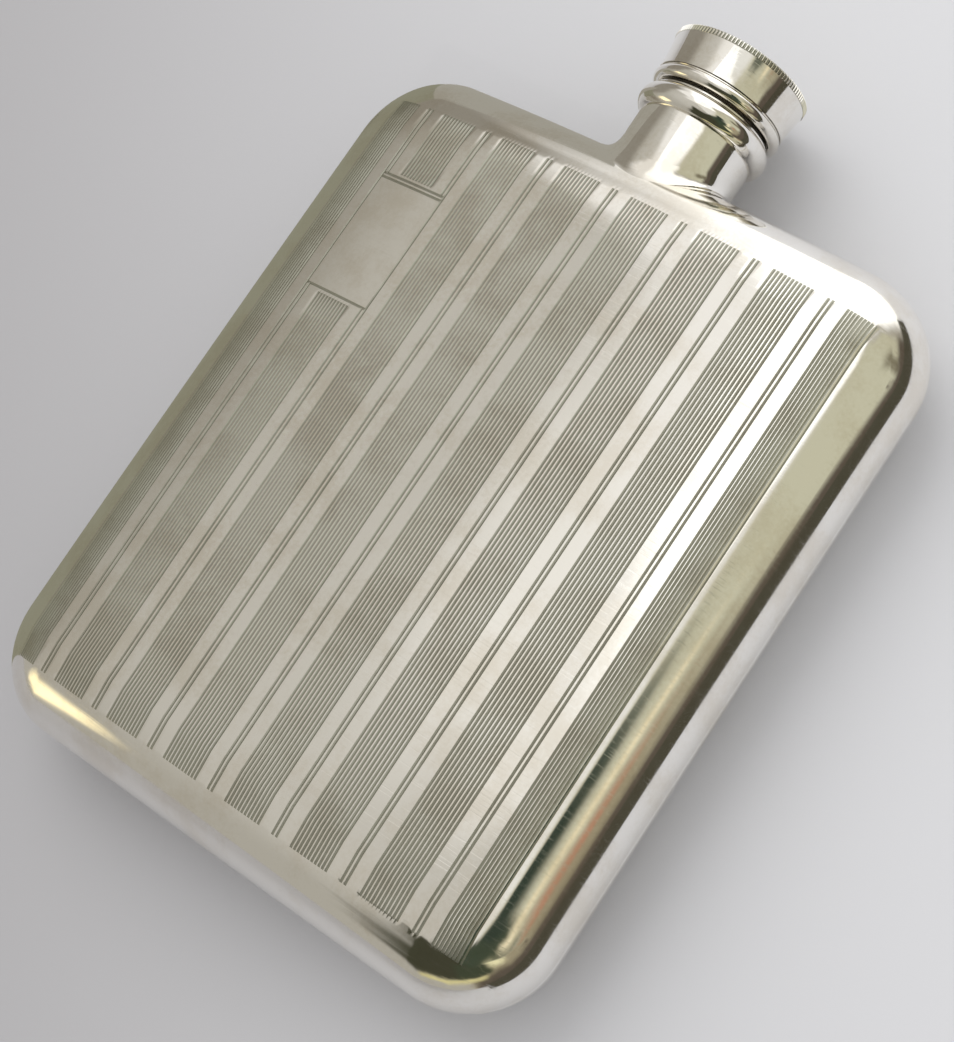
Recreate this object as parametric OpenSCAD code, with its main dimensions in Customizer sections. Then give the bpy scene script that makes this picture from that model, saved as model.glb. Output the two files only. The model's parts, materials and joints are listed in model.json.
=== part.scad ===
// Hip flask: a slim silver flask of two soldered shells, with a short neck
// and a screw cap. It lies on its back: +Z is the normal of the decorated
// face, +Y runs from the base to the cap and X is the width. Millimetres.

/* [Body] */
// Width of the body across its two long sides
body_width = 90; // [80:1:100]
// Length of the body from the base to the shoulder, without the neck
body_length = 105; // [95:1:120]
// Radius of the four corners of the outline
corner_radius = 12.8; // [12:0.2:20]
// Depth of the front shell in front of the seam, at the centre line
front_depth = 11.1; // [9.6:0.1:12]
// Depth of the back shell behind the seam, at the centre line
back_depth = 10.4; // [9.6:0.1:12]
// Radius of the front face across the width
crown_radius = 190; // [150:1:240]
// Radius of the seam and of the hollow back across the width
hip_radius = 370; // [280:5:600]
// Width of the rounded border of the front shell, in plan
front_edge = 10.6; // [7:0.1:10.8]
// Fullness of the front shell's rounded border, 2 is an ellipse
front_fullness = 2.1; // [2:0.1:3]
// Width of the rounded border of the back shell, in plan
back_edge = 10; // [8:0.1:10.5]
// Fullness of the back shell's rounded border, 2 is an ellipse
back_fullness = 1.7; // [1.6:0.1:2.4]
// Thickness of the sheet that both shells are raised from
sheet = 0.8; // [0.6:0.1:1]

/* [Neck and mouth] */
// Outside radius of the neck tube
neck_radius = 8.35; // [8:0.05:9]
// Wall of the neck tube
neck_wall = 0.9; // [0.7:0.1:1.1]
// Height of the collar's top face above the shoulder
collar_top = 9.75; // [9:0.25:12]
// Height of the collar, a half-round ring around the neck
collar_height = 3.9; // [3:0.1:5]
// Largest radius of the collar
collar_radius = 9.65; // [9.4:0.05:10.2]
// How far the neck's foot spreads over the shoulder at its sides
foot_spread = 2.4; // [1.5:0.1:3]
// Radius of the pouring bore through the mouth
bore_radius = 5.6; // [5:0.1:5.8]
// Radius of the mouth at the root of its thread
mouth_radius = 6.5; // [6.4:0.05:6.6]
// Height of the threaded mouth above the collar
mouth_height = 6.15; // [5.5:0.05:6.5]

/* [Screw thread] */
// Lead of the right-hand thread
thread_pitch = 2.4; // [2:0.1:3]
// Height of the thread ridge
thread_height = 0.6; // [0.4:0.05:0.6]
// Turns of ridge on the mouth
mouth_turns = 1.5; // [1:0.25:1.5]
// Turns of ridge in the cap
cap_turns = 1.5; // [1:0.25:1.5]

/* [Cap] */
// Gap between the closed cap and the collar
cap_gap = 0.4; // [0.3:0.05:0.5]
// Radius of the cap's wall just above the base bead
cap_foot_radius = 9.45; // [9.3:0.05:9.6]
// Radius of the cap's wall under the milled rim
cap_head_radius = 9.9; // [9.7:0.05:10.2]
// Thickness of the cap's wall
cap_wall_sheet = 0.7; // [0.5:0.1:0.8]
// Largest radius of the base bead
bead_radius = 9.62; // [9.5:0.02:9.8]
// Height of the base bead
bead_height = 1.85; // [1.6:0.05:2]
// Largest radius of the milled rim
rim_radius = 10.02; // [9.9:0.02:10.3]
// Height of the milled rim
rim_height = 1.05; // [0.9:0.05:1.2]
// Number of teeth on the milled rim
rim_teeth = 120; // [90:2:130]
// Depth of the milling
tooth_depth = 0.26; // [0.15:0.01:0.35]
// Rise of the domed top above the milled rim
dome_rise = 0.65; // [0.4:0.05:1]
// Thickness of the cork disc
cork_thickness = 1; // [0.8:0.05:1]

/* [Hidden] */
$fn = 96;

// Heights along +Y, counted from the shoulder of the body
cap_foot = collar_top + cap_gap;
wall_foot = cap_foot + bead_height + 0.05;
wall_head = cap_foot + 6.55;
rim_head = wall_head + rim_height;
disc_foot = wall_head + 0.3;
cap_head = rim_head + dome_rise;
mouth_head = collar_top + mouth_height;
neck_foot_depth = -5.3;
total_length = body_length + cap_head;
base_y = -total_length / 2;
shoulder_y = base_y + body_length;

// Radii inside the cap
sleeve_bore = mouth_radius + thread_height + 0.2;
sleeve_outer = sleeve_bore + 1;
disc_radius = cap_head_radius - 1;
cork_radius = sleeve_bore - 0.15;

// The shells are built from rings that follow the outline. The angle walks
// each ring from the seam to the inner end of the rounded border.
ring_angles = [0, 9, 19, 30, 42, 55, 70, 90];
corner_steps = 8;
top_steps = 14;
last_ring = len(ring_angles) - 1;

function seam_z(x) = -x * x / (2 * hip_radius);
function face_z(x, depth, radius) = depth - x * x / (2 * radius);

// Half of the outline, from the right side over the shoulder to the left side
function half_outline(width, length, radius, inset) = concat(
  [for (i = [0 : corner_steps])
    let (a = 90 * i / corner_steps)
    [width / 2 - radius + (radius - inset) * cos(a),
     length / 2 - radius + (radius - inset) * sin(a)]],
  [for (i = [1 : top_steps - 1])
    [(width / 2 - radius) * (1 - 2 * i / top_steps), length / 2 - inset]],
  [for (i = [0 : corner_steps])
    let (a = 90 + 90 * i / corner_steps)
    [radius - width / 2 + (radius - inset) * cos(a),
     length / 2 - radius + (radius - inset) * sin(a)]]);

half_count = 2 * (corner_steps + 1) + top_steps - 1;
ring_count = 2 * half_count;

function outline_ring(width, length, radius, inset) =
  let (half = half_outline(width, length, radius, inset))
  [for (i = [0 : ring_count - 1])
    i < half_count ? half[i] : [half[ring_count - 1 - i][0], -half[ring_count - 1 - i][1]]];

// All rings of one skin. side is 1 for the front and -1 for the back.
function skin_points(width, length, radius, edge, depth, fullness, side) =
  [for (a = ring_angles)
    let (inset = edge * (1 - pow(cos(a), 2 / fullness)))
    let (swell = pow(sin(a), 2 / fullness))
    for (p = outline_ring(width, length, radius, inset))
      let (low = seam_z(p[0]))
      let (high = side > 0 ? face_z(p[0], depth, crown_radius) : low - depth)
      [p[0], p[1], low + (high - low) * swell]];

skin_size = ring_count * len(ring_angles);

function band_faces(first) =
  [for (k = [0 : last_ring - 1])
    for (i = [0 : ring_count - 1])
      let (j = (i + 1) % ring_count)
      let (a = first + k * ring_count)
      let (b = a + ring_count)
      each [[a + i, b + i, b + j], [a + i, b + j, a + j]]];

function plateau_faces(first) =
  [for (i = [0 : half_count - 2])
    let (a = first + last_ring * ring_count)
    [a + i, a + ring_count - 1 - i, a + ring_count - 2 - i, a + i + 1]];

function turned(faces) =
  [for (f = faces)
    [for (i = [0 : len(f) - 1]) f[len(f) - 1 - i]]];

function lip_faces() =
  [for (i = [0 : ring_count - 1])
    let (j = (i + 1) % ring_count)
    each [[i, j, skin_size + j], [i, skin_size + j, skin_size + i]]];

module half_shell(edge, depth, fullness, side) {
  outer = skin_points(body_width, body_length, corner_radius, edge, depth, fullness, side);
  inner = skin_points(body_width - 2 * sheet, body_length - 2 * sheet,
    corner_radius - sheet, edge - sheet, depth - sheet, fullness, side);
  faces = concat(band_faces(0), plateau_faces(0), turned(band_faces(skin_size)),
    turned(plateau_faces(skin_size)), lip_faces());
  polyhedron(points = concat(outer, inner), faces = side > 0 ? faces : turned(faces));
}

// The lowest points of the back touch the ground, so the neck's axis is here
back_skin = skin_points(body_width, body_length, corner_radius, back_edge,
  back_depth, back_fullness, -1);
axis_z = -min([for (p = back_skin) p[2]]);

module on_body() {
  translate([0, base_y + body_length / 2, axis_z])
    children();
}

// Turns a shape drawn around +Z into one around +Y, counted from the shoulder
module on_neck() {
  translate([0, shoulder_y, axis_z])
    rotate([-90, 0, 0])
      children();
}

// Where the body's surface lies behind the shoulder, at a point of the section
function reach(x, z) =
  let (low = seam_z(x))
  let (front = z >= low)
  let (tall = front ? face_z(x, front_depth, crown_radius) - low : back_depth)
  let (share = min(abs(z - low) / tall, 0.985))
  let (power = front ? front_fullness : back_fullness)
  -(front ? front_edge : back_edge) * (1 - pow(1 - pow(share, power), 1 / power));

foot_steps = 48;
foot_curve = 6;
foot_size = foot_curve + 5;

// One section of the foot ring: a curve from the tube down onto the shoulder,
// then back along the shoulder's surface and up beside the tube
function foot_section(turn) =
  let (spread = foot_spread - 1.4 * abs(sin(turn)))
  let (r0 = neck_radius + 0.02, r2 = neck_radius + spread, r1 = neck_radius + spread / 2)
  let (y0 = reach(r0 * cos(turn), r0 * sin(turn)))
  let (y1 = reach(r1 * cos(turn), r1 * sin(turn)))
  let (y2 = reach(r2 * cos(turn), r2 * sin(turn)))
  let (top = y0 + 2.4)
  concat(
    [for (i = [0 : foot_curve])
      let (t = i / foot_curve)
      [(1 - t * t) * (r0 + 0.13) + t * t * r2,
       (1 - t) * (1 - t) * top + 2 * t * (1 - t) * y0 + t * t * (y2 + 0.05)]],
    [[r2, y2 - 0.08], [r1, y1 - 0.08], [r0, y0 - 0.08], [r0, top]]);

module neck_foot() {
  points = [for (k = [0 : foot_steps - 1])
    let (turn = 360 * k / foot_steps)
    for (p = foot_section(turn))
      [p[0] * cos(turn), -p[0] * sin(turn), p[1]]];
  faces = [for (k = [0 : foot_steps - 1])
    let (a = k * foot_size)
    let (b = ((k + 1) % foot_steps) * foot_size)
    for (i = [0 : foot_size - 1])
      let (j = (i + 1) % foot_size)
      each [[a + i, b + i, b + j], [a + i, b + j, a + j]]];
  color("Silver")
    on_neck()
      polyhedron(points = points, faces = faces);
}

thread_steps = 36;
thread_start = 7;

// A helical ridge around +Z, rooted 0.3 mm inside the wall that carries it. Its
// height fades in and out over a sixth of a turn
module thread_ridge(start, turns, root, crest) {
  steps = round(turns * thread_steps);
  outward = crest > root;
  buried = root + (outward ? -0.3 : 0.3);
  points = [for (k = [0 : steps])
    let (turn = 360 * k / thread_steps)
    let (z = start + thread_pitch * k / thread_steps)
    let (fade = min(1, min(0.1 + k / 6, 0.1 + (steps - k) / 6)))
    let (tip = root + (crest - root) * fade)
    for (p = [[buried, -0.7], [tip, -0.25], [tip, 0.25], [buried, 0.7]])
      [p[0] * cos(turn), p[0] * sin(turn), z + p[1]]];
  sides = [for (k = [0 : steps - 1])
    for (i = [0 : 3])
      let (j = (i + 1) % 4)
      let (a = 4 * k)
      let (b = a + 4)
      each [[a + i, b + j, b + i], [a + i, a + j, b + j]]];
  ends = [[3, 2, 1, 0], [for (i = [0 : 3]) 4 * steps + i]];
  faces = concat(sides, ends);
  polyhedron(points = points, faces = outward ? faces : turned(faces));
}

module neck_hole() {
  on_neck()
    translate([0, 0, -12])
      cylinder(r = neck_radius, h = 24);
}

module front_shell() {
  color("Silver")
    difference() {
      on_body()
        half_shell(front_edge, front_depth, front_fullness, 1);
      neck_hole();
    }
}

module back_shell() {
  color("Gainsboro")
    difference() {
      on_body()
        half_shell(back_edge, back_depth, back_fullness, -1);
      neck_hole();
    }
}

module neck_tube() {
  color("LightSteelBlue")
    on_neck()
      difference() {
        translate([0, 0, neck_foot_depth])
          cylinder(r = neck_radius, h = collar_top - neck_foot_depth);
        translate([0, 0, neck_foot_depth - 1])
          cylinder(r = neck_radius - neck_wall, h = collar_top - neck_foot_depth + 2);
      }
}

module neck_collar() {
  swell = collar_height / 2;
  color("Silver")
    on_neck()
      rotate_extrude()
        difference() {
          union() {
            translate([collar_radius - swell, collar_top - swell])
              circle(r = swell);
            translate([neck_radius - 0.5, collar_top - collar_height + 0.3])
              square([0.8, collar_height - 0.3]);
          }
          translate([0, collar_top - collar_height - 1])
            square([neck_radius, collar_height + 2]);
        }
}

module mouth_thread() {
  color("White")
    on_neck() {
      difference() {
        union() {
          translate([0, 0, collar_top - 9])
            cylinder(r = neck_radius - neck_wall, h = 9);
          translate([0, 0, collar_top - 9])
            cylinder(r = mouth_radius, h = mouth_height + 9);
          rotate([0, 0, thread_start])
            thread_ridge(collar_top + 1.3, mouth_turns, mouth_radius, mouth_radius + thread_height);
        }
        translate([0, 0, -10])
          cylinder(r = bore_radius, h = 40);
      }
    }
}

module cap_wall() {
  color("Silver")
    on_neck()
      rotate_extrude()
        polygon([[cap_foot_radius - cap_wall_sheet, wall_foot], [cap_foot_radius, wall_foot],
          [cap_head_radius, wall_head], [cap_head_radius - cap_wall_sheet, wall_head]]);
}

module cap_base_bead() {
  swell = bead_height / 2;
  color("Gainsboro")
    on_neck()
      rotate_extrude()
        intersection() {
          translate([sleeve_outer, cap_foot])
            square([bead_radius, bead_height]);
          union() {
            translate([0, cap_foot])
              square([bead_radius - swell, bead_height]);
            translate([bead_radius - swell, cap_foot + swell])
              circle(r = swell);
          }
        }
}

module cap_milled_rim() {
  fillet = 0.75;
  color("Gold")
    on_neck()
      intersection() {
        rotate_extrude()
          intersection() {
            translate([disc_radius, wall_head])
              square([rim_radius, rim_height]);
            union() {
              translate([0, wall_head])
                square([rim_radius - fillet, rim_height]);
              translate([0, wall_head])
                square([rim_radius, rim_height - fillet]);
              translate([rim_radius - fillet, rim_head - fillet])
                circle(r = fillet);
            }
          }
        translate([0, 0, wall_head - 1])
          linear_extrude(height = rim_height + 2)
            polygon([for (i = [0 : 4 * rim_teeth - 1])
              let (r = rim_radius + 0.2 - (i % 4 < 2 ? 0 : 0.2 + tooth_depth))
              let (a = 90 * (i + (i % 2 == 0 ? 0.1 : -0.1)) / rim_teeth)
              [r * cos(a), r * sin(a)]]);
      }
}

module cap_top_disc() {
  side = rim_head - disc_foot;
  ball = (disc_radius * disc_radius + dome_rise * dome_rise) / (2 * dome_rise);
  color("Silver")
    on_neck()
      intersection() {
        translate([0, 0, disc_foot])
          cylinder(r = disc_radius, h = side + dome_rise);
        translate([0, 0, cap_head - ball])
          sphere(r = ball, $fn = 360);
      }
}

module cap_thread_sleeve() {
  color("White")
    on_neck()
      union() {
        difference() {
          translate([0, 0, cap_foot + 0.1])
            cylinder(r = sleeve_outer, h = disc_foot - cap_foot - 0.1);
          cylinder(r = sleeve_bore, h = 40);
        }
        rotate([0, 0, thread_start + 180])
          thread_ridge(cap_foot + 0.9, cap_turns, sleeve_bore, sleeve_bore - thread_height);
      }
}

module cork_seal() {
  color("Peru")
    on_neck()
      translate([0, 0, mouth_head + 0.02])
        cylinder(r = cork_radius, h = min(cork_thickness, disc_foot - mouth_head - 0.05));
}

front_shell();
back_shell();
neck_tube();
neck_foot();
neck_collar();
mouth_thread();
cap_wall();
cap_base_bead();
cap_milled_rim();
cap_top_disc();
cap_thread_sleeve();
cork_seal();
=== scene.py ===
"""Looks of the silver hip flask: two raised shells, an engine-turned front, neck, mouth and screw cap."""

import json
import math

import bmesh
import bpy
import numpy as np
from mathutils import Matrix, Vector


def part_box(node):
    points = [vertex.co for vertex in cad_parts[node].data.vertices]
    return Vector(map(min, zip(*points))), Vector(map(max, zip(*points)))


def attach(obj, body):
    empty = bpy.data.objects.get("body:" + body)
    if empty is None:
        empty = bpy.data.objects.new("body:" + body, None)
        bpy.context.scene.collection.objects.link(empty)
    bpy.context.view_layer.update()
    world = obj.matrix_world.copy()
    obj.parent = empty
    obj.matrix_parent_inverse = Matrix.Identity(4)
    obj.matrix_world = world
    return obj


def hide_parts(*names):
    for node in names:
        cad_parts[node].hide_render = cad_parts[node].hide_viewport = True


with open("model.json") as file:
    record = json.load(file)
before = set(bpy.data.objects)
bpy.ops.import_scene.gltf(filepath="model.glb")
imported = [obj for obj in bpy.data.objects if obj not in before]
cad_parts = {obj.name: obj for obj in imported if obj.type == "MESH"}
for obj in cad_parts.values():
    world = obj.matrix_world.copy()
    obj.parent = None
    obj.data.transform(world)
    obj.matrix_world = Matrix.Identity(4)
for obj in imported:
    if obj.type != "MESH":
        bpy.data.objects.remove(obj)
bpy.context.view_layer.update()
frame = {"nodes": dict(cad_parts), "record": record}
MM = 0.001

# Places read from the frame. Everything below is in millimetres.
SHELL_LOW, SHELL_HIGH = (np.array(corner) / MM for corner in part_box("front_shell"))
BODY_Y = (SHELL_LOW[1] + SHELL_HIGH[1]) / 2
SHOULDER_Y = SHELL_HIGH[1]
AXIS_Z = next(m for m in frame["record"]["mounts"] if m["name"] == "mouth")["pos_m"][2] / MM

# Body
HALF_WIDTH = 45.0
HALF_LENGTH = 52.5
CORNER = 12.8
SHEET = 0.8
HIP_RADIUS = 370.0
CROWN_RADIUS = 190.0
LENGTH_CROWN = 2200.0
FRONT = {"side": 1, "edge": 10.6, "depth": 11.1, "fullness": 2.1}
BACK = {"side": -1, "edge": 10.0, "depth": 10.4, "fullness": 1.7}
SEAM_NICK = 0.07
SEAM_LIP = 0.012

# Mesh of the shells: a grid on the face, then rings from its border down to the seam
GRID_INSET = 2.6
RINGS = 16
SIDE_COLUMNS = 11
PLAIN_SPAN = 38.6
PLAIN_COLUMN = 1.6
ENGRAVED_COLUMN = 0.6
ROW = 4.0
END_ROW = 0.55
END_ROWS_START = 40.5
MARGIN_ROWS = 8
END_MARGIN = 1.6

# Engraving. Places across are measured round the crowned face, and lengths from the body's middle.
PITCH = 10.725
DOUBLE_LINE = 0.31
HATCH = 0.544
HATCH_LINES = 11
SIDE_HATCH = 0.46
SIDE_HATCH_START = 2.47
SIDE_HATCH_LINES = 8
SIDE_LINE = 3 * PITCH + 6.3
SIDE_LINE_LIP = 0.36
GROOVE_WIDTH = 0.38
GROOVE_DEPTH = 0.07
GROOVE_TAPER = 0.35
PATTERN = (-45.87, 44.81)
CARTOUCHE = (15.88, 34.0)
CARTOUCHE_INNER = 33.4
CARTOUCHE_CLEAR = (15.3, 34.5)
NEAR = 1e-6

# Neck and cap, heights counted from the shoulder
NECK_RADIUS = 8.35
NECK_WALL = 0.9
NECK_DEPTH = 5.3
NECK_EDGE = 0.12
FOOT_SPREAD = 2.4
FOOT_TRIM = 1.4
FOOT_RISE = 2.4
FOOT_LIP = 0.05
FOOT_EDGE = 0.03
FOOT_SINK = 0.08
COLLAR_TOP = 9.75
COLLAR_HEIGHT = 3.9
COLLAR_RADIUS = 9.65
COLLAR_ARC = (-58, 62)
COLLAR_STEP = 0.22
COLLAR_FACE = (8.62, 8.54)
CAP_FOOT = 10.15
BEAD_HEIGHT = 1.85
BEAD_RADIUS = 9.62
BEAD_ARC = (-90, 48)
BEAD_STEP = 0.18
SLEEVE_RADIUS = 8.3
WALL_FOOT = 12.05
WALL_HEAD = 16.7
CAP_FOOT_RADIUS = 9.45
CAP_HEAD_RADIUS = 9.9
CAP_SHEET = 0.7
RIM_HEIGHT = 1.05
RIM_RADIUS = 10.02
RIM_TEETH = 120
TOOTH_DEPTH = 0.26
TOOTH_STEPS = 8
RIM_EDGE = (0.35, 0.2)
RIM_SOFTNESS = 0.1
MILLED_DEPTH = 0.4
MILLED_FADE = 0.3
# Where the grime and painted shade of the milling's gaps lie, as shares of the teeth's depth in from the rim
MILLING_GRIME_AND_SHADE = (1.4, 0.45)
DISC_RADIUS = 8.9
DISC_FOOT = 17.0
DISC_GAP = 0.03
CHAMFER = 0.06
DOME_RISE = 0.65
CORK_FOOT = 15.92
CORK_RADIUS = 7.15
CORK_THICKNESS = 1.0
CORK_EDGE = 0.2
CORK_EDGE_ZONE = 1

# Round shapes
ROUND_STEPS = 192
CORK_STEPS = 128
CORNER_STEPS = 4
COLLAR_STEPS = 28
BEAD_STEPS = 20
WALL_STEPS = 13
DOME_STEPS = 25
FOOT_STEPS = 14
CORNER_LIMIT = 0.45
STEEPEST = 0.985
CUTTER_LENGTH = 24.0
SHARP_ANGLE = 32.0
SHELL_SHARP_ANGLE = 18.0
MERGE = 1e-7
SLIVER = 1e-8

# Camera
AIM = Vector((4.517, -8.482, 12.0)) * MM
DISTANCE = 289.0 * MM
AZIMUTH = 75.284
ELEVATION = 61.032
ROLL = -43.12
LENS = 78.5


# ---------------------------------------------------------------- meshes

def make_piece(name, points, faces, body, materials, replaced, sharp_angle=SHARP_ANGLE):
    """A closed mesh as a piece that rides on a body. Points are in millimetres."""
    mesh = bpy.data.meshes.new(name)
    mesh.from_pydata((np.asarray(points) * MM).tolist(), [], faces)
    work = bmesh.new()
    work.from_mesh(mesh)
    bmesh.ops.remove_doubles(work, verts=work.verts, dist=MERGE)
    bmesh.ops.dissolve_degenerate(work, edges=work.edges, dist=SLIVER)
    bmesh.ops.recalc_face_normals(work, faces=work.faces)
    work.to_mesh(mesh)
    work.free()
    piece = bpy.data.objects.new(name, mesh)
    bpy.context.scene.collection.objects.link(piece)
    for material in materials:
        mesh.materials.append(material)
    mesh.shade_smooth()
    mesh.set_sharp_from_angle(angle=math.radians(sharp_angle))
    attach(piece, body)
    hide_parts(replaced)
    return piece


def loop_faces(inner, outer):
    """Quads between two closed loops of vertex numbers."""
    nxt_in, nxt_out = np.roll(inner, -1), np.roll(outer, -1)
    return np.stack([inner, outer, nxt_out, nxt_in], axis=1)


def swept_ring(section_at, turns):
    """Points and faces of a closed section, (radius, height), carried once round the neck's axis."""
    rows = []
    for k in range(turns):
        turn = 2 * math.pi * k / turns
        section = np.asarray(section_at(turn))
        rows.append(np.stack([
            section[:, 0] * math.cos(turn),
            SHOULDER_Y + section[:, 1],
            AXIS_Z + section[:, 0] * math.sin(turn),
        ], axis=1))
    count = len(rows[0])
    faces = []
    for k in range(turns):
        here = np.arange(count) + k * count
        there = np.arange(count) + ((k + 1) % turns) * count
        faces.extend(loop_faces(here, there).tolist())
    return np.concatenate(rows), faces


def rounded(corners, radius):
    """A closed profile with each corner softened."""
    corners = [np.array(c, float) for c in corners]
    profile = []
    for i, corner in enumerate(corners):
        before, after = corners[i - 1] - corner, corners[(i + 1) % len(corners)] - corner
        lead, tail = np.linalg.norm(before), np.linalg.norm(after)
        start = corner + before / lead * min(radius, CORNER_LIMIT * lead)
        end = corner + after / tail * min(radius, CORNER_LIMIT * tail)
        for t in np.linspace(0, 1, CORNER_STEPS + 1):
            profile.append((1 - t) ** 2 * start + 2 * t * (1 - t) * corner + t * t * end)
    return np.array(profile)


def arc(centre, radius, first, last, steps):
    """Points of an arc in a section, angles in degrees from the outward direction."""
    return [
        (centre[0] + radius * math.cos(math.radians(a)), centre[1] + radius * math.sin(math.radians(a)))
        for a in np.linspace(first, last, steps + 1)
    ]


def cut_neck_hole(piece):
    """Cuts the neck's round hole through a shell's shoulder."""
    mesh = bpy.data.meshes.new("cutter")
    work = bmesh.new()
    radius = NECK_RADIUS * MM
    along_neck = Matrix.Rotation(math.pi / 2, 4, "X")
    bmesh.ops.create_cone(
        work, cap_ends=True, segments=ROUND_STEPS, radius1=radius, radius2=radius, depth=CUTTER_LENGTH * MM,
        matrix=Matrix.Translation(Vector((0, SHOULDER_Y, AXIS_Z)) * MM) @ along_neck)
    work.to_mesh(mesh)
    work.free()
    cutter = bpy.data.objects.new("cutter", mesh)
    bpy.context.scene.collection.objects.link(cutter)
    modifier = piece.modifiers.new("hole", "BOOLEAN")
    modifier.object = cutter
    modifier.operation = "DIFFERENCE"
    modifier.solver = "EXACT"
    depsgraph = bpy.context.evaluated_depsgraph_get()
    cut_mesh = bpy.data.meshes.new_from_object(piece.evaluated_get(depsgraph))
    piece.modifiers.clear()
    piece.data = cut_mesh
    bpy.data.objects.remove(cutter)


# ---------------------------------------------------------------- shells

def crown_x(place):
    """How far across the body a place measured round the crowned face lies."""
    return CROWN_RADIUS * math.sin(place / CROWN_RADIUS)


def top_of(x):
    """Half length of the grid's outline at a distance x from the centre line."""
    corner = CORNER - GRID_INSET
    over = np.clip(np.abs(x) - (HALF_WIDTH - CORNER), 0, corner)
    return HALF_LENGTH - CORNER + np.sqrt(corner ** 2 - over ** 2)


def inset_at(x, y):
    """Distance from the outline, inwards."""
    qx = np.abs(x) - (HALF_WIDTH - CORNER)
    qy = np.abs(y) - (HALF_LENGTH - CORNER)
    return CORNER - np.hypot(np.maximum(qx, 0), np.maximum(qy, 0)) - np.minimum(np.maximum(qx, qy), 0)


def shell_height(x, y, swell, shell, sheet):
    """Height of a shell's skin, from the seam (swell 0) to the crown (swell 1)."""
    low = -x * x / (2 * HIP_RADIUS)
    if shell["side"] > 0:
        high = shell["depth"] - sheet - x * x / (2 * CROWN_RADIUS) - y * y / (2 * LENGTH_CROWN)
    else:
        high = low - shell["depth"] + sheet
    return AXIS_Z + low + (high - low) * swell


def swell_at(inset, shell, sheet):
    """How far the rounded edge has risen at a distance from the outline, 0 to 1."""
    share = np.clip(1 - (inset - sheet) / (shell["edge"] - sheet), 0, 1)
    return (1 - share ** shell["fullness"]) ** (1 / shell["fullness"])


def engraved_lines():
    """Each lengthwise line as its place across the face and the stretches where it is cut."""
    broken = [(PATTERN[0], CARTOUCHE[0]), (CARTOUCHE[1], PATTERN[1])]
    stopped = [(PATTERN[0], CARTOUCHE_CLEAR[0]), (CARTOUCHE_CLEAR[1], PATTERN[1])]
    lines = []
    for k in range(-3, 4):
        for side in (-1, 1):
            beside = (k == -3 and side == 1) or (k == -2 and side == -1)
            lines.append((k * PITCH + side * DOUBLE_LINE, broken if beside else [PATTERN]))
    for k in range(-3, 3):
        for i in range(HATCH_LINES):
            place = (k + 0.5) * PITCH + (i - (HATCH_LINES - 1) / 2) * HATCH
            lines.append((place, stopped if k == -3 else [PATTERN]))
    for side in (-1, 1):
        for i in range(SIDE_HATCH_LINES):
            lines.append((side * (3 * PITCH + SIDE_HATCH_START + SIDE_HATCH * i), [PATTERN]))
        lines.append((side * SIDE_LINE, [PATTERN]))
    return sorted(lines)


def fill_gaps(stops, largest_gap):
    """Sorted stops with extra ones between them, so that no gap is over largest_gap(place)."""
    stops = sorted(stops)
    filled = [stops[0]]
    for a, b in zip(stops, stops[1:]):
        count = max(1, math.ceil((b - a) / largest_gap((a + b) / 2)))
        filled.extend(a + (b - a) * i / count for i in range(1, count + 1))
    return np.array(filled)


def side_columns(first):
    """Columns out to the grid's long sides, spaced by angle on the corners."""
    straight, corner = HALF_WIDTH - CORNER, CORNER - GRID_INSET
    angles = np.linspace(math.asin((first - straight) / corner), math.pi / 2, SIDE_COLUMNS + 1)[1:]
    return straight + corner * np.sin(angles)


def columns_for(engraved):
    """Places across the body, and the groove stretches cut at each of them."""
    cuts = {}
    if engraved:
        for place, stretches in engraved_lines():
            outermost = abs(place) > SIDE_LINE - NEAR
            outer = math.copysign(SIDE_LINE_LIP if outermost else GROOVE_WIDTH / 2, place)
            for offset in (-math.copysign(GROOVE_WIDTH / 2, place), 0, outer):
                cuts[crown_x(place + offset)] = stretches if offset == 0 else []
    else:
        cuts = {x: [] for x in (-PLAIN_SPAN, 0.0, PLAIN_SPAN)}
    middle = fill_gaps(cuts, lambda place: ENGRAVED_COLUMN if engraved else PLAIN_COLUMN)
    sides = side_columns(middle[-1])
    return np.concatenate([-sides[::-1], middle, sides]), cuts


def rows_for(engraved):
    """Places along the body, with stops wherever the engraving starts, ends or crosses."""
    half = GROOVE_WIDTH / 2
    stops = list(PATTERN)
    if engraved:
        stops += [PATTERN[0] + GROOVE_TAPER, PATTERN[1] - GROOVE_TAPER]
        stops += [CARTOUCHE_CLEAR[0], CARTOUCHE_CLEAR[0] - GROOVE_TAPER]
        stops += [CARTOUCHE_CLEAR[1], CARTOUCHE_CLEAR[1] + GROOVE_TAPER]
        for line in (*CARTOUCHE, CARTOUCHE_INNER):
            stops += [line - half, line, line + half]
    return fill_gaps(stops, lambda place: END_ROW if abs(place) > END_ROWS_START else ROW)


def cut_depth(x, rows, cuts):
    """How deep each grid point lies in the engraving, by the rows' nominal places."""
    depth = np.zeros((len(rows), len(x)))
    for j, place in enumerate(x):
        for first, last in cuts.get(place, []):
            inside = np.minimum(rows - first, last - rows) / GROOVE_TAPER
            # A line that runs into the cartouche's frame stays at its full depth there.
            if abs(first - CARTOUCHE[1]) < NEAR:
                inside = np.where(rows < first + 1, np.where(rows >= first, 1, 0), inside)
            if abs(last - CARTOUCHE[0]) < NEAR:
                inside = np.where(rows > last - 1, np.where(rows <= last, 1, 0), inside)
            depth[:, j] = np.maximum(depth[:, j], np.clip(inside, 0, 1))
    left, right = crown_x(-3 * PITCH - DOUBLE_LINE), crown_x(-2 * PITCH + DOUBLE_LINE)
    across = (x > left - NEAR) & (x < right + NEAR)
    for line in (*CARTOUCHE, CARTOUCHE_INNER):
        row = int(np.argmin(np.abs(rows - line)))
        depth[row] = np.maximum(depth[row], across)
    return depth * GROOVE_DEPTH


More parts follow.
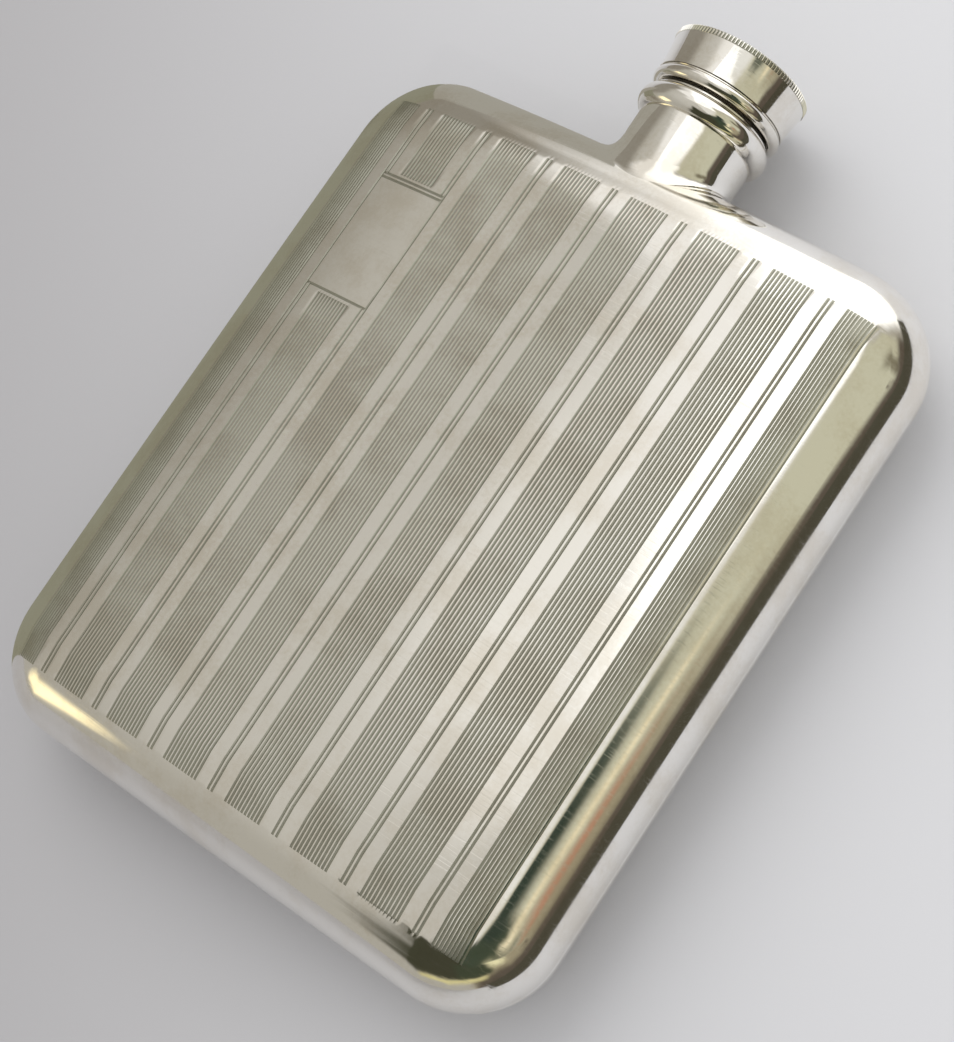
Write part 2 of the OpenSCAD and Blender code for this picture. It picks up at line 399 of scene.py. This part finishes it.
def grid_points(x, rows):
    """The grid's points, x and y, with end rows that follow the rounded outline."""
    margin_rows = np.linspace(0, 1, MARGIN_ROWS + 1)[:-1]
    columns = []
    for place in x:
        top = float(top_of(place))
        low, high = max(PATTERN[0], END_MARGIN - top), min(PATTERN[1], top - END_MARGIN)
        middle = low + (rows - PATTERN[0]) * (high - low) / (PATTERN[1] - PATTERN[0])
        bottom_margin = -top + (low + top) * margin_rows
        top_margin = top - (top - high) * margin_rows[::-1]
        columns.append(np.concatenate([bottom_margin, middle, top_margin]))
    y = np.array(columns).T
    return np.broadcast_to(x, y.shape), y


def skin(gx, gy, shell, sheet, nick):
    """Points of one skin: the grid, then rings that carry its border down to the seam."""
    count_rows, count_columns = gx.shape
    swell = swell_at(inset_at(gx, gy), shell, sheet)
    grid = np.stack([gx, gy, shell_height(gx, gy, swell, shell, sheet)], axis=2).reshape(-1, 3)
    number = np.arange(count_rows * count_columns).reshape(count_rows, count_columns)
    loop = np.concatenate([number[0], number[1:, -1], number[-1, -2::-1], number[-2:0:-1, 0]])
    px, py = grid[loop, 0], grid[loop, 1]
    qx = np.abs(px) - (HALF_WIDTH - CORNER)
    qy = np.abs(py) - (HALF_LENGTH - CORNER)
    nx = np.where(qx > 0, qx, 0) * np.sign(px)
    ny = np.where(qy > 0, qy, 0) * np.sign(py)
    size = np.hypot(nx, ny)
    nx, ny = nx / size, ny / size
    edge, power = shell["edge"] - sheet, shell["fullness"]
    start = math.acos((1 - (GRID_INSET - sheet) / edge) ** (power / 2))
    angles = [start * (1 - k / RINGS) for k in range(1, RINGS)]
    levels = [(edge * (1 - math.cos(a) ** (2 / power)), math.sin(a) ** (2 / power)) for a in angles]
    levels += [(0.0, SEAM_LIP), (nick, 0.0)]
    points = [grid]
    for inset, share in levels:
        out = GRID_INSET - sheet - inset
        x, y = px + nx * out, py + ny * out
        points.append(np.stack([x, y, shell_height(x, y, share, shell, sheet)], axis=1))
    return np.concatenate(points), number, loop, len(levels)


def skin_faces(number, loop, levels, first):
    """Quads of one skin, with the grid's quads first."""
    grid = np.stack(
        [number[:-1, :-1], number[:-1, 1:], number[1:, 1:], number[1:, :-1]], axis=2).reshape(-1, 4)
    bands, ring = [], loop
    for k in range(levels):
        outer = number.size + k * len(loop) + np.arange(len(loop))
        bands.append(loop_faces(ring, outer))
        ring = outer
    return np.concatenate([grid, *bands]) + first, ring + first


def build_shell(name, shell, materials, engraved):
    """One shell with its outer and inner skin, the engraving and the neck's hole."""
    x, cuts = columns_for(engraved)
    rows = rows_for(engraved)
    gx, gy = grid_points(x, rows)
    outer, number, loop, levels = skin(gx, gy, shell, 0.0, SEAM_NICK)
    depth = np.zeros(gx.shape)
    if engraved:
        depth[MARGIN_ROWS:MARGIN_ROWS + len(rows)] = cut_depth(x, rows, cuts)
    outer[:number.size, 2] -= depth.reshape(-1)
    inner = skin(gx, gy, shell, SHEET, 0.0)[0]
    outer_faces, outer_rim = skin_faces(number, loop, levels, 0)
    inner_faces, inner_rim = skin_faces(number, loop, levels, len(outer))
    faces = np.concatenate([outer_faces, inner_faces[:, ::-1], loop_faces(outer_rim, inner_rim)])
    piece = make_piece(
        name, np.concatenate([outer, inner]) + (0, BODY_Y, 0), faces.tolist(), "flask",
        materials, name.replace("_visual", ""), SHELL_SHARP_ANGLE)
    in_cut = depth > NEAR
    cut_quads = in_cut[:-1, :-1] | in_cut[:-1, 1:] | in_cut[1:, 1:] | in_cut[1:, :-1]
    bright_wall = np.abs(x[:-1] + x[1:]) / 2 > crown_x(SIDE_LINE)
    kinds = np.zeros(len(faces), np.int32)
    kinds[:cut_quads.size][(cut_quads & ~bright_wall).reshape(-1)] = 1
    kinds[len(outer_faces):] = len(materials) - 1
    piece.data.polygons.foreach_set("material_index", kinds)
    cut_neck_hole(piece)


# ---------------------------------------------------------------- neck and cap

def shoulder_reach(x, z):
    """Height of the body's surface at a point of the neck's section, seen along the neck."""
    low = -x * x / (2 * HIP_RADIUS)
    shell = FRONT if z >= low else BACK
    tall = float(abs(shell_height(x, HALF_LENGTH, 1.0, shell, 0.0) - AXIS_Z - low))
    share = min(abs(z - low) / tall, STEEPEST)
    return -shell["edge"] * (1 - (1 - share ** shell["fullness"]) ** (1 / shell["fullness"]))


def foot_section(turn):
    """A fillet from the tube down onto the shoulder, and back under it."""
    spread = FOOT_SPREAD - FOOT_TRIM * abs(math.sin(turn))
    radii = [NECK_RADIUS, NECK_RADIUS + spread / 2, NECK_RADIUS + spread]
    ground = [shoulder_reach(r * math.cos(turn), r * math.sin(turn)) for r in radii]
    top = ground[0] + FOOT_RISE
    curve = []
    for t in np.linspace(0, 1, FOOT_STEPS + 1):
        radius = (1 - t * t) * (radii[0] + FOOT_LIP) + t * t * radii[2]
        bend, rim = ground[0] + FOOT_LIP, ground[2] + FOOT_EDGE
        curve.append((radius, (1 - t) ** 2 * top + 2 * t * (1 - t) * bend + t * t * rim))
    under = [(r, g - FOOT_SINK) for r, g in zip(radii[::-1], ground[::-1])]
    return curve + under + [(radii[0], top)]


def tube_section(_turn):
    """A plain tube from inside the shoulder to the collar's top."""
    inner = NECK_RADIUS - NECK_WALL
    return rounded([(inner, -NECK_DEPTH), (NECK_RADIUS, -NECK_DEPTH), (NECK_RADIUS, COLLAR_TOP),
                    (inner, COLLAR_TOP)], NECK_EDGE)


def collar_section(_turn):
    """A half-round ring with a flat top face for the cap to meet."""
    swell = COLLAR_HEIGHT / 2
    centre = (COLLAR_RADIUS - swell, COLLAR_TOP - swell)
    foot = (NECK_RADIUS, COLLAR_TOP - COLLAR_HEIGHT + COLLAR_STEP)
    face = [(COLLAR_FACE[0], COLLAR_TOP - CHAMFER), (COLLAR_FACE[1], COLLAR_TOP), (NECK_RADIUS, COLLAR_TOP)]
    return [foot, *arc(centre, swell, *COLLAR_ARC, COLLAR_STEPS), *face]


def cap_wall_section(_turn):
    """The cap's wall, flaring gently towards the milled rim."""
    inner = CAP_FOOT_RADIUS - CAP_SHEET
    spread, height = CAP_HEAD_RADIUS - CAP_FOOT_RADIUS, WALL_HEAD - WALL_FOOT
    outside = [
        (CAP_FOOT_RADIUS + spread * t ** 1.5, WALL_FOOT + height * t)
        for t in np.linspace(0, 1, WALL_STEPS + 1)
    ]
    return [(inner, WALL_FOOT), *outside, (CAP_HEAD_RADIUS - CAP_SHEET, WALL_HEAD)]


def bead_section(_turn):
    """The bead round the cap's lower edge."""
    swell = BEAD_HEIGHT / 2
    centre = (BEAD_RADIUS - swell, CAP_FOOT + swell)
    top = CAP_FOOT + BEAD_HEIGHT
    return [(SLEEVE_RADIUS, CAP_FOOT), *arc(centre, swell, *BEAD_ARC, BEAD_STEPS),
            (CAP_FOOT_RADIUS - BEAD_STEP, top), (SLEEVE_RADIUS, top)]


def rim_section(turn):
    """The rim's section, with the milling's wave on the points near the outside."""
    wave = 0.5 - 0.5 * math.cos(turn * RIM_TEETH)
    notch = TOOTH_DEPTH * (wave * wave * (3 - 2 * wave))
    top = WALL_HEAD + RIM_HEIGHT
    profile = rounded([(DISC_RADIUS, WALL_HEAD), (RIM_RADIUS, WALL_HEAD), (RIM_RADIUS, top - RIM_EDGE[1]),
                       (RIM_RADIUS - RIM_EDGE[0], top), (DISC_RADIUS, top)], RIM_SOFTNESS)
    outward = np.clip((profile[:, 0] - (RIM_RADIUS - MILLED_DEPTH)) / MILLED_FADE, 0, 1)
    profile[:, 0] -= outward * notch
    return profile


def darken_milling(rim):
    """Gives the bottoms of the milling the dark groove silver: partly the grime that collects there, partly
    painted shade in the deep, narrow gaps.
    """
    rim.data.materials.append(GROOVE)
    for face in rim.data.polygons:
        radius = math.hypot(face.center.x, face.center.z - AXIS_Z * MM) / MM
        low, high = (RIM_RADIUS - share * TOOTH_DEPTH for share in MILLING_GRIME_AND_SHADE)
        # Painted shade and grime: faces deep in the milling's gaps take the dark groove silver
        if abs(face.normal.y) < 0.5 and low < radius < high:
            face.material_index = 1


def dome_section(_turn):
    """The cap's top, a shallow piece of a sphere on a flat disc."""
    ball = (DISC_RADIUS ** 2 + DOME_RISE ** 2) / (2 * DOME_RISE)
    top = WALL_HEAD + RIM_HEIGHT
    dome = [
        (r, top + DOME_RISE - ball + math.sqrt(ball ** 2 - r * r))
        for r in np.linspace(DISC_RADIUS - DISC_GAP, 0, DOME_STEPS + 1)
    ]
    return [(0, DISC_FOOT), (DISC_RADIUS, DISC_FOOT), (DISC_RADIUS, top - CHAMFER), *dome]


def cork_section(_turn):
    """A flat cork disc with a softened edge."""
    top, inner = CORK_FOOT + CORK_THICKNESS, CORK_RADIUS - CORK_EDGE_ZONE
    corners = [(CORK_RADIUS, CORK_FOOT), (CORK_RADIUS, top), (inner, top), (inner, CORK_FOOT)]
    edge = rounded(corners, CORK_EDGE)
    outer = [p for p in edge if p[0] > inner + CORK_EDGE / 2]
    centre = (CORK_RADIUS - CORK_EDGE_ZONE / 2, CORK_FOOT + CORK_THICKNESS / 2)
    outer.sort(key=lambda p: math.atan2(p[1] - centre[1], p[0] - centre[0]))
    return [(0, CORK_FOOT), *outer, (0, top)]


# ---------------------------------------------------------------- materials

class Nodes:
    """A short way to write a node tree."""

    def __init__(self, tree):
        self.tree = tree
        tree.nodes.clear()

    def add(self, kind, inputs=None, **settings):
        node = self.tree.nodes.new(kind)
        for key, value in settings.items():
            setattr(node, key, value)
        for key, value in (inputs or {}).items():
            self.put(node, key, value)
        return node

    def put(self, node, key, value):
        if isinstance(value, bpy.types.NodeSocket):
            self.tree.links.new(value, node.inputs[key])
        else:
            node.inputs[key].default_value = value

    def math(self, operation, a, b=0.0):
        return self.add("ShaderNodeMath", {0: a, 1: b}, operation=operation).outputs[0]

    def vector_math(self, operation, a, b):
        return self.add("ShaderNodeVectorMath", {0: a, 1: b}, operation=operation).outputs[0]

    def dot(self, a, b):
        return self.add("ShaderNodeVectorMath", {0: a, 1: b}, operation="DOT_PRODUCT").outputs["Value"]

    def ramp(self, value, low, high, out_low=0.0, out_high=1.0):
        node = self.add(
            "ShaderNodeMapRange", {"From Min": low, "From Max": high, "To Min": out_low, "To Max": out_high},
            interpolation_type="SMOOTHSTEP")
        self.put(node, "Value", value)
        return node.outputs["Result"]

    def mix(self, share, a, b):
        node = self.add("ShaderNodeMix", data_type="RGBA")
        for name, value in (("Factor_Float", share), ("A_Color", a), ("B_Color", b)):
            socket = next(s for s in node.inputs if s.identifier == name)
            if isinstance(value, bpy.types.NodeSocket):
                self.tree.links.new(value, socket)
            else:
                socket.default_value = value
        return next(s for s in node.outputs if s.identifier == "Result_Color")

    def noise(self, vector, scale, detail=3.0, roughness=0.5):
        node = self.add("ShaderNodeTexNoise", {
            "Vector": vector, "Scale": scale, "Detail": detail, "Roughness": roughness})
        return node.outputs["Fac"]

    def place_in_millimetres(self):
        place = self.add("ShaderNodeTexCoord").outputs["Object"]
        return self.add("ShaderNodeMapping", {"Vector": place, "Scale": (1 / MM, 1 / MM, 1 / MM)}).outputs[0]

    def bump(self, height, depth, strength=1.0, normal=None):
        node = self.add("ShaderNodeBump", {"Height": height, "Strength": strength, "Distance": depth * MM})
        if normal is not None:
            self.put(node, "Normal", normal)
        return node.outputs[0]


# Wiping marks run in three directions, each with its own start in the noise.
MARK_TURNS = ((0.35, 3.0), (-0.8, 11.0), (1.25, 23.0))
MARK_STRETCH = (0.09, 4.2, 0.6)


def metal(name, bright, dull, smooth, worn, scratch_depth, dent_depth=0.0):
    """Polished or aged silver: smudges, fine wiping marks and a few shallow dents."""
    material = bpy.data.materials.new(name)
    material.use_nodes = True
    n = Nodes(material.node_tree)
    millimetres = n.place_in_millimetres()
    smudge = n.noise(millimetres, 0.11, 5.0, 0.6)
    grain = n.noise(millimetres, 1.9, 4.0, 0.6)
    marks = None
    for angle, seed in MARK_TURNS:
        stretched = n.add("ShaderNodeMapping", {
            "Vector": millimetres, "Location": (seed, seed, seed), "Rotation": (0, 0, angle),
            "Scale": MARK_STRETCH}).outputs[0]
        line = n.ramp(n.noise(stretched, 1.0, 2.0, 0.45), 0.63, 0.72)
        marks = line if marks is None else n.math("MAXIMUM", marks, line)
    colour = n.mix(n.ramp(n.math("ADD", smudge, n.math("MULTIPLY", grain, 0.25)), 0.52, 0.80), bright, dull)
    rough = n.math("ADD", n.ramp(smudge, 0.35, 0.7, smooth, worn), n.math("MULTIPLY", marks, 0.07))
    height = n.math("ADD", n.math("MULTIPLY", grain, 0.25), n.math("MULTIPLY", marks, -1.0))
    bump = n.bump(height, scratch_depth)
    if dent_depth:
        dents = n.add("ShaderNodeTexVoronoi", {"Vector": millimetres, "Scale": 0.12, "Randomness": 1.0})
        hollow = n.ramp(dents.outputs["Distance"], 0.0, 0.16, -1.0, 0.0)
        bump = n.bump(hollow, dent_depth, normal=bump)
    shader = n.add("ShaderNodeBsdfPrincipled", {
        "Base Color": colour, "Metallic": 1.0, "Roughness": rough, "Normal": bump})
    n.add("ShaderNodeOutputMaterial", {"Surface": shader.outputs[0]})
    return material


def cork_material():
    """Brown cork with darker pits."""
    material = bpy.data.materials.new("cork")
    material.use_nodes = True
    n = Nodes(material.node_tree)
    millimetres = n.place_in_millimetres()
    grain = n.noise(millimetres, 1.4, 5.0, 0.65)
    cells = n.add("ShaderNodeTexVoronoi", {"Vector": millimetres, "Scale": 1.1}).outputs["Distance"]
    colour = n.mix(n.ramp(grain, 0.35, 0.65), (0.33, 0.17, 0.075, 1), (0.62, 0.4, 0.2, 1))
    pits = n.ramp(cells, 0.08, 0.3)
    colour = n.mix(pits, (0.12, 0.06, 0.03, 1), colour)
    height = n.math("ADD", n.math("MULTIPLY", grain, 0.5), pits)
    bump = n.bump(height, 0.12, strength=0.8)
    shader = n.add("ShaderNodeBsdfPrincipled", {"Base Color": colour, "Roughness": 0.85, "Normal": bump})
    n.add("ShaderNodeOutputMaterial", {"Surface": shader.outputs[0]})
    return material


# ---------------------------------------------------------------- studio

def light_patch(n, direction, elevation, patch):
    """How much a direction lies in a soft-edged patch of the surroundings, 0 to 1."""
    turn = math.radians(patch["azimuth"])
    aside = n.dot(direction, (math.cos(turn), math.sin(turn), 0))
    ahead = n.dot(direction, (math.sin(turn), -math.cos(turn), 0))
    off = n.math("ABSOLUTE", n.math("ARCTAN2", aside, ahead))
    half, soft = math.radians(patch["half_width"]), math.radians(patch["soft"])
    low, high = (math.radians(e) for e in patch["elevations"])
    share = n.ramp(off, half - soft, half + soft, 1.0, 0.0)
    share = n.math("MULTIPLY", share, n.ramp(elevation, low - soft, low + soft))
    return n.math("MULTIPLY", share, n.ramp(elevation, high - soft, high + soft, 1.0, 0.0))


# What the silver mirrors: soft patches of light and dark, each laid over those before it. Azimuths
# run from -Y towards +X and elevations up from the floor, both in degrees.
SURROUNDINGS = [
    {"azimuth": 200, "half_width": 72, "elevations": (68, 100), "soft": 11, "light": (0.90, 0.88, 0.83)},
    {"azimuth": 180, "half_width": 28, "elevations": (-5, 84), "soft": 6, "light": (1.5, 1.5, 1.46)},
    {"azimuth": 217, "half_width": 14, "elevations": (2, 80), "soft": 8, "light": (0.92, 0.90, 0.86)},
    {"azimuth": 248, "half_width": 34, "elevations": (-20, 33), "soft": 9, "light": (0.27, 0.25, 0.21)},
    {"azimuth": 308, "half_width": 9, "elevations": (5, 19), "soft": 4, "light": (1.5, 1.3, 0.8)},
    {"azimuth": 16, "half_width": 32, "elevations": (14, 58), "soft": 4, "light": (0.050, 0.050, 0.030)},
    {"azimuth": 100, "half_width": 42, "elevations": (50, 100), "soft": 6, "light": (0.60, 0.58, 0.45)},
    {"azimuth": 100, "half_width": 62, "elevations": (61, 100), "soft": 4, "light": (0.82, 0.81, 0.76)},
    {"azimuth": 150, "half_width": 26, "elevations": (56, 84), "soft": 5, "light": (1.30, 1.30, 1.25)},
    {"azimuth": 108, "half_width": 36, "elevations": (8, 52), "soft": 5, "light": (0.56, 0.545, 0.41)},
    {"azimuth": 62, "half_width": 22, "elevations": (27, 56), "soft": 5, "light": (0.050, 0.065, 0.040)},
    {"azimuth": 80, "half_width": 17, "elevations": (43, 56), "soft": 4, "light": (0.035, 0.050, 0.035)},
    {"azimuth": 123, "half_width": 5, "elevations": (10, 28), "soft": 4, "light": (0.20, 0.18, 0.12)},
    {"azimuth": 68, "half_width": 30, "elevations": (-5, 27), "soft": 5, "light": (0.34, 0.30, 0.20)},
    {"azimuth": 42, "half_width": 14, "elevations": (14, 32), "soft": 4, "light": (0.050, 0.060, 0.035)},
    {"azimuth": 92, "half_width": 52, "elevations": (-5, 12), "soft": 4, "light": (0.105, 0.085, 0.065)},
    {"azimuth": 24, "half_width": 24, "elevations": (8, 14), "soft": 3, "light": (0.66, 0.60, 0.30)},
    {"azimuth": 63, "half_width": 6, "elevations": (19, 31), "soft": 4, "light": (0.85, 0.80, 0.50)},
    {"azimuth": 86, "half_width": 13, "elevations": (31, 37), "soft": 3, "light": (0.85, 0.76, 0.52)},
    {"azimuth": 89, "half_width": 4, "elevations": (22, 27), "soft": 3, "light": (0.50, 0.24, 0.15)},
]
SKY_LOW = (0.42, 0.40, 0.35, 1)
SKY_HIGH = (0.56, 0.54, 0.49, 1)
RIPPLE_SCALE = 3.5
RIPPLE = 0.22
DOME = (0.80, 0.80, 0.82, 1)
BACKDROP = (0.60, 0.60, 0.60, 1)
FLOOR_RADIUS = 0.9
FLOOR_SIDES = 96
# Painted light on the floor: its colour runs from shaded to lit along one direction, over this span in
# metres
FLOOR_SHADED = (0.43, 0.42, 0.42, 1)
FLOOR_LIT = (0.74, 0.74, 0.745, 1)
PAINTED_LIGHT_TOWARDS = (0.81, 0.59, 0)
PAINTED_LIGHT_SPAN = (-0.12, 0.08)
KEY_SIZE = 0.9
KEY_ENERGY = 2.8
KEY_PLACE = Vector((-0.45, 0.35, 0.75))


def make_world():
    """Even light for the floor, a plain backdrop, and the surroundings for the silver alone."""
    world = bpy.data.worlds.new("studio")
    world.use_nodes = True
    bpy.context.scene.world = world
    n = Nodes(world.node_tree)
    direction = n.add("ShaderNodeTexCoord").outputs["Generated"]
    noise = n.add("ShaderNodeTexNoise", {"Vector": direction, "Scale": RIPPLE_SCALE, "Detail": 2.0})
    ripple = n.vector_math("SUBTRACT", noise.outputs["Color"], (0.5, 0.5, 0.5))
    ripple = n.add("ShaderNodeVectorMath", {0: ripple, "Scale": RIPPLE}, operation="SCALE").outputs[0]
    direction = n.vector_math("ADD", direction, ripple)
    direction = n.add("ShaderNodeVectorMath", {0: direction}, operation="NORMALIZE").outputs[0]
    split = n.add("ShaderNodeSeparateXYZ", {"Vector": direction})
    elevation = n.math("ARCSINE", split.outputs["Z"])
    colour = n.mix(n.ramp(elevation, 0.3, 1.2), SKY_LOW, SKY_HIGH)
    for patch in SURROUNDINGS:
        colour = n.mix(light_patch(n, direction, elevation, patch), colour, (*patch["light"], 1))
    path = n.add("ShaderNodeLightPath")
    colour = n.mix(path.outputs["Is Glossy Ray"], DOME, colour)
    colour = n.mix(path.outputs["Is Camera Ray"], colour, BACKDROP)
    background = n.add("ShaderNodeBackground", {"Color": colour, "Strength": 1.0})
    n.add("ShaderNodeOutputWorld", {"Surface": background.outputs[0]})


def make_floor():
    """A pale round floor with painted light: its colour runs from shaded grey on one side to lit on the
    other.
    """
    mesh = bpy.data.meshes.new("floor")
    turns = np.linspace(0, 2 * math.pi, FLOOR_SIDES, endpoint=False)
    rim = [(FLOOR_RADIUS * math.cos(a), FLOOR_RADIUS * math.sin(a), 0) for a in turns]
    mesh.from_pydata(rim, [], [list(range(FLOOR_SIDES))])
    floor = bpy.data.objects.new("floor", mesh)
    bpy.context.scene.collection.objects.link(floor)
    material = bpy.data.materials.new("floor")
    material.use_nodes = True
    n = Nodes(material.node_tree)
    place = n.add("ShaderNodeTexCoord").outputs["Object"]
    # Painted light: the colour grows lighter along one direction across the floor
    across = n.dot(place, PAINTED_LIGHT_TOWARDS)
    colour = n.mix(n.ramp(across, *PAINTED_LIGHT_SPAN), FLOOR_SHADED, FLOOR_LIT)
    bump = n.bump(n.noise(place, 900.0, 2.0), 0.05, strength=0.2)
    shader = n.add("ShaderNodeBsdfPrincipled", {"Base Color": colour, "Roughness": 0.6, "Normal": bump})
    n.add("ShaderNodeOutputMaterial", {"Surface": shader.outputs[0]})
    mesh.materials.append(material)


def make_reflection_card(name, start, end, height, colour):
    """An upright glowing card between two places on the floor, hidden from the camera, from diffuse light
    and from shadows: a painted reflection seen only in the silver.
    """
    corners = [(*start, 0), (*end, 0), (*end, height), (*start, height)]
    mesh = bpy.data.meshes.new(name)
    mesh.from_pydata([[c * MM for c in corner] for corner in corners], [], [(0, 1, 2, 3)])
    card = bpy.data.objects.new(name, mesh)
    bpy.context.scene.collection.objects.link(card)
    material = bpy.data.materials.new(name)
    material.use_nodes = True
    n = Nodes(material.node_tree)
    shader = n.add("ShaderNodeEmission", {"Color": colour, "Strength": 1.0})
    n.add("ShaderNodeOutputMaterial", {"Surface": shader.outputs[0]})
    mesh.materials.append(material)
    card.visible_camera = False
    card.visible_diffuse = False
    card.visible_shadow = False


def make_key_light():
    """A large soft lamp that the silver doesn't mirror."""
    data = bpy.data.lights.new("key", "AREA")
    data.shape = "DISK"
    data.size = KEY_SIZE
    data.energy = KEY_ENERGY
    key = bpy.data.objects.new("key", data)
    bpy.context.scene.collection.objects.link(key)
    key.location = KEY_PLACE
    key.rotation_euler = (-KEY_PLACE).to_track_quat("-Z", "Y").to_euler()
    key.visible_glossy = False


def make_camera():
    """The camera looks at AIM from the given direction and distance, rolled about its line of sight."""
    azimuth, elevation, roll = (math.radians(a) for a in (AZIMUTH, ELEVATION, ROLL))
    flat = Vector((math.sin(azimuth), -math.cos(azimuth), 0)) * math.cos(elevation)
    back = flat + Vector((0, 0, math.sin(elevation)))
    level = (-back).cross(Vector((0, 0, 1))).normalized()
    right = level * math.cos(roll) + level.cross(-back) * math.sin(roll)
    up = back.cross(right)
    data = bpy.data.cameras.new("camera")
    data.lens = LENS
    data.sensor_width = 36.0
    data.clip_start = 0.01
    camera = bpy.data.objects.new("camera", data)
    bpy.context.scene.collection.objects.link(camera)
    turned = Matrix((right, up, back)).transposed().to_4x4()
    camera.matrix_world = Matrix.Translation(AIM + back * DISTANCE) @ turned
    bpy.context.scene.camera = camera


# ---------------------------------------------------------------- build

POLISHED = metal("polished_silver", (0.93, 0.91, 0.87, 1), (0.82, 0.78, 0.71, 1), 0.04, 0.09, 0.0012, 0.02)
FACE = metal("face_silver", (0.93, 0.91, 0.87, 1), (0.84, 0.80, 0.73, 1), 0.06, 0.12, 0.0012)
GROOVE = metal("tarnished_groove", (0.43, 0.43, 0.365, 1), (0.36, 0.35, 0.29, 1), 0.38, 0.46, 0.001)
INSIDE = metal("inner_silver", (0.72, 0.68, 0.60, 1), (0.50, 0.45, 0.37, 1), 0.32, 0.5, 0.004)
CORK = cork_material()

build_shell("front_shell_visual", FRONT, [FACE, GROOVE, INSIDE], True)
build_shell("back_shell_visual", BACK, [POLISHED, INSIDE], False)

for node, section, turns, body, slot_name, material in (
    ("neck_tube", tube_section, ROUND_STEPS, "flask", "silver", POLISHED),
    ("neck_foot", foot_section, ROUND_STEPS, "flask", "silver", POLISHED),
    ("neck_collar", collar_section, ROUND_STEPS, "flask", "silver", POLISHED),
    ("cap_wall", cap_wall_section, ROUND_STEPS, "cap", "silver", POLISHED),
    ("cap_base_bead", bead_section, ROUND_STEPS, "cap", "silver", POLISHED),
    ("cap_milled_rim", rim_section, RIM_TEETH * TOOTH_STEPS, "cap", "silver", POLISHED),
    ("cap_top_disc", dome_section, ROUND_STEPS, "cap", "silver", POLISHED),
    ("cork_seal", cork_section, CORK_STEPS, "cork", "cork", CORK),
):
    points, faces = swept_ring(section, turns)
    make_piece(node + "_visual", points, faces, body, [material], node)

darken_milling(bpy.data.objects["cap_milled_rim_visual"])

for node in ("mouth_thread", "cap_thread_sleeve"):
    cad = frame["nodes"][node]
    cad.data.materials.clear()
    cad.data.materials.append(INSIDE)

make_camera()
make_world()
make_floor()
make_key_light()
# Painted reflections: the olive card shows in the silver as the shaded floor beside the body's left side,
# the grey card as a darker band along the shoulder next to it, and the dark card as a dark band beside the
# right side
make_reflection_card("dark_reflection_card", (122.5, -136), (86, 162), 20, (0.07, 0.065, 0.045, 1))
make_reflection_card("olive_shade_reflection", (-51, 52), (-51, -59), 22, (0.26, 0.255, 0.19, 1))
make_reflection_card("grey_reflection_card", (-51, 52), (-10.5, 52), 22, (0.36, 0.345, 0.30, 1))
bpy.context.scene.view_settings.view_transform = "Standard"
